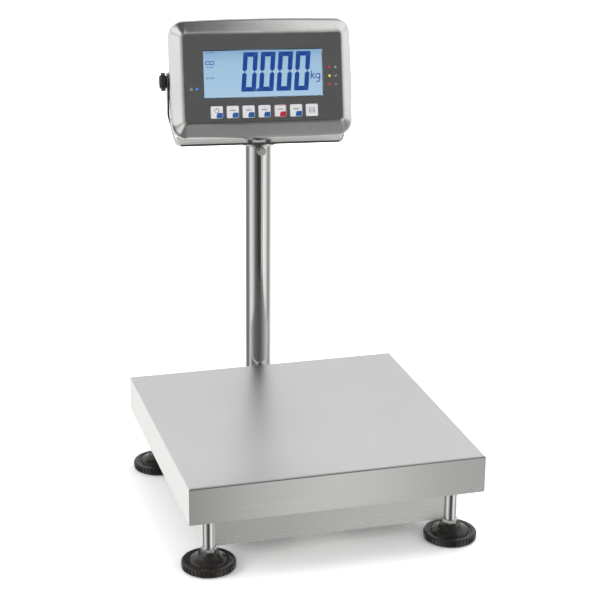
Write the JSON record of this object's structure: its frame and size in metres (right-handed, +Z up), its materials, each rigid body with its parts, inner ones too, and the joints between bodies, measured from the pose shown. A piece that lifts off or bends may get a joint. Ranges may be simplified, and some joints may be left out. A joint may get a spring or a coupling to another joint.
{
  "type": "platform scale",
  "caption": "Bench platform scale with a square lift-off steel pan, levelling feet, a round column behind it and a tilting display head with keys in a U bracket.",
  "frame": {"origin": "on the floor, at the middle of the scale's left-to-right and front-to-back extent", "axes": "+Z up along the column, -Y towards the person who reads the display, +X to that person's right"},
  "size_m": [0.406, 0.4888, 0.6458],
  "materials": {
    "pan_steel": "satin brushed stainless sheet",
    "frame_steel": "satin stainless channel",
    "column_steel": "smooth drawn stainless tube",
    "bracket_steel": "satin bent stainless strip",
    "cover_steel": "polished deep-drawn stainless",
    "housing_steel": "satin deep-drawn stainless",
    "bright_screws": "bright plated hardware",
    "cell_aluminium": "machined, clear anodised",
    "black_moulding": "satin moulded plastic",
    "black_rubber": "matt moulded rubber",
    "level_case": "moulded plastic",
    "level_liquid": "green liquid under a clear cap",
    "panel_film": "printed polyester film",
    "window_clear": "clear acrylic",
    "digit_module": "backlit liquid-crystal panel",
    "board_green": "glass-epoxy circuit board",
    "key_white": "satin moulded plastic",
    "lamp_lens": "tinted moulded lens",
    "battery_film": "shrink sleeve"
  },
  "bodies": {
    "base": {"front_channel": "frame_steel", "rear_channel": "frame_steel", "left_channel": "frame_steel", "right_channel": "frame_steel", "corner_gussets": "frame_steel", "cell_beam": "frame_steel", "overload_stops": "bright_screws", "load_cell": "cell_aluminium", "lower_spacer": "frame_steel", "upper_spacer": "frame_steel", "load_cell_bolts": "bright_screws", "load_spider": "frame_steel", "pan_bumpers": "black_rubber", "level_body": "level_case", "level_vial": "level_liquid", "lock_nuts": "bright_screws", "column_bracket": "frame_steel", "bracket_bolts": "bright_screws", "column_tube": "column_steel", "column_bolts": "bright_screws", "column_end_cap": "black_moulding", "clamp_bolt": "bright_screws", "frame_gland": "black_moulding"},
    "pan": {"weighing_pan": "pan_steel"},
    "display_arm": {"column_flange": "bracket_steel", "display_bracket": "bracket_steel", "flange_screws": "bright_screws"},
    "display_head": {"rear_housing": "housing_steel", "front_cover": "cover_steel", "housing_gasket": "black_rubber", "housing_screws": "bright_screws", "display_glands": "black_moulding", "front_overlay": "panel_film", "display_window": "window_clear", "display_module": "digit_module", "main_board": "board_green", "key_board": "board_green", "status_lamps": "lamp_lens", "battery_pack": "battery_film", "pivot_washers": "black_rubber", "pivot_screw": "bright_screws"},
    "left_knob": {"knob_left": "black_moulding"},
    "front_left_foot": {"foot_pad_front_left": "black_moulding", "foot_stud_front_left": "bright_screws"},
    "front_right_foot": {"foot_pad_front_right": "black_moulding", "foot_stud_front_right": "bright_screws"},
    "rear_left_foot": {"foot_pad_rear_left": "black_moulding", "foot_stud_rear_left": "bright_screws"},
    "rear_right_foot": {"foot_pad_rear_right": "black_moulding", "foot_stud_rear_right": "bright_screws"},
    "key_1_cap": {"key_1": "key_white"},
    "key_2_cap": {"key_2": "key_white"},
    "key_3_cap": {"key_3": "key_white"},
    "key_4_cap": {"key_4": "key_white"},
    "key_5_cap": {"key_5": "key_white"},
    "key_6_cap": {"key_6": "key_white"},
    "key_7_cap": {"key_7": "key_white"}
  },
  "joints": [
    {"name": "pan_lift", "type": "slide", "parent": "base", "child": "pan", "axis": [0, 0, 1], "range_m": [0, 0.12]},
    {"name": "front_left_foot_height", "type": "slide", "parent": "base", "child": "front_left_foot", "axis": [0, 0, 1], "range_m": [-0.02, 0]},
    {"name": "front_right_foot_height", "type": "slide", "parent": "base", "child": "front_right_foot", "axis": [0, 0, 1], "range_m": [-0.02, 0]},
    {"name": "rear_left_foot_height", "type": "slide", "parent": "base", "child": "rear_left_foot", "axis": [0, 0, 1], "range_m": [-0.02, 0]},
    {"name": "rear_right_foot_height", "type": "slide", "parent": "base", "child": "rear_right_foot", "axis": [0, 0, 1], "range_m": [-0.02, 0]},
    {"name": "head_swivel", "type": "hinge", "parent": "base", "child": "display_arm", "pos_m": [0, 0.18003, 0.46], "axis": [0, 0, 1], "range_deg": [-90, 90]},
    {"name": "display_tilt", "type": "hinge", "parent": "display_arm", "child": "display_head", "pos_m": [0, 0.18003, 0.556], "axis": [-0.9925, 0.1219, 0], "range_deg": [-10, 40]},
    {"name": "left_knob_turn", "type": "hinge", "parent": "display_head", "child": "left_knob", "pos_m": [0, 0.18003, 0.556], "axis": [0.9925, -0.1219, 0], "continuous": true},
    {"name": "key_1_press", "type": "slide", "parent": "display_head", "child": "key_1_cap", "axis": [0.1177, 0.9587, -0.2588], "range_m": [0, 0.0005], "stiffness_N_per_m": 500},
    {"name": "key_2_press", "type": "slide", "parent": "display_head", "child": "key_2_cap", "axis": [0.1177, 0.9587, -0.2588], "range_m": [0, 0.0005], "stiffness_N_per_m": 500},
    {"name": "key_3_press", "type": "slide", "parent": "display_head", "child": "key_3_cap", "axis": [0.1177, 0.9587, -0.2588], "range_m": [0, 0.0005], "stiffness_N_per_m": 500},
    {"name": "key_4_press", "type": "slide", "parent": "display_head", "child": "key_4_cap", "axis": [0.1177, 0.9587, -0.2588], "range_m": [0, 0.0005], "stiffness_N_per_m": 500},
    {"name": "key_5_press", "type": "slide", "parent": "display_head", "child": "key_5_cap", "axis": [0.1177, 0.9587, -0.2588], "range_m": [0, 0.0005], "stiffness_N_per_m": 500},
    {"name": "key_6_press", "type": "slide", "parent": "display_head", "child": "key_6_cap", "axis": [0.1177, 0.9587, -0.2588], "range_m": [0, 0.0005], "stiffness_N_per_m": 500},
    {"name": "key_7_press", "type": "slide", "parent": "display_head", "child": "key_7_cap", "axis": [0.1177, 0.9587, -0.2588], "range_m": [0, 0.0005], "stiffness_N_per_m": 500}
  ]
}
